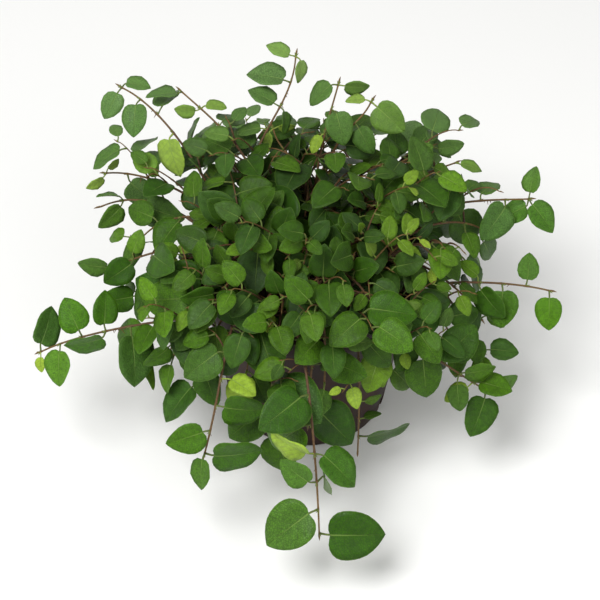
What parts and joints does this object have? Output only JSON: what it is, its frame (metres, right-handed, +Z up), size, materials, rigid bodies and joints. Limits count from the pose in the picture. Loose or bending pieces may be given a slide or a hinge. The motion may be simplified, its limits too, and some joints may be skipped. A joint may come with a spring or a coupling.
{
  "type": "potted creeping fig",
  "caption": "Potted creeping fig: thin stems with small heart-shaped leaves rise from soil in a tapered plastic nursery pot, arch over its rim and trail.",
  "frame": {"origin": "centre of the pot's flat foot", "axes": "+Z up along the pot's axis, -Y towards the front that the picture shows"},
  "size_m": [0.2733, 0.2436, 0.1836],
  "materials": {
    "pot": "dark aubergine-brown, satin",
    "soil": "dark moist peat, crumbly",
    "foliage": "fresh green leaf, soft satin"
  },
  "bodies": {
    "root": {"pot": "pot", "soil": "soil", "stem_01": "foliage", "stem_02": "foliage", "stem_03": "foliage", "stem_04": "foliage", "stem_05": "foliage", "stem_06": "foliage", "stem_07": "foliage", "stem_08": "foliage", "stem_09": "foliage", "stem_10": "foliage", "stem_11": "foliage", "stem_12": "foliage", "stem_13": "foliage", "stem_14": "foliage", "stem_15": "foliage", "stem_16": "foliage", "stem_17": "foliage", "stem_18": "foliage", "stem_19": "foliage", "stem_20": "foliage", "stem_21": "foliage", "stem_22": "foliage", "stem_23": "foliage", "stem_24": "foliage", "stem_25": "foliage", "stem_26": "foliage", "stem_27": "foliage", "stem_28": "foliage", "stem_29": "foliage", "stem_30": "foliage", "stem_31": "foliage", "stem_32": "foliage", "stem_33": "foliage", "stem_34": "foliage", "stem_35": "foliage", "stem_36": "foliage", "stem_37": "foliage", "stem_38": "foliage", "stem_39": "foliage", "stem_40": "foliage", "stem_41": "foliage", "stem_42": "foliage", "stem_43": "foliage", "stem_44": "foliage", "stem_45": "foliage", "stem_46": "foliage", "stem_47": "foliage", "stem_48": "foliage", "stem_49": "foliage", "stem_50": "foliage", "stem_51": "foliage", "stem_52": "foliage", "stem_53": "foliage", "stem_54": "foliage", "stem_55": "foliage"}
  },
  "joints": []
}
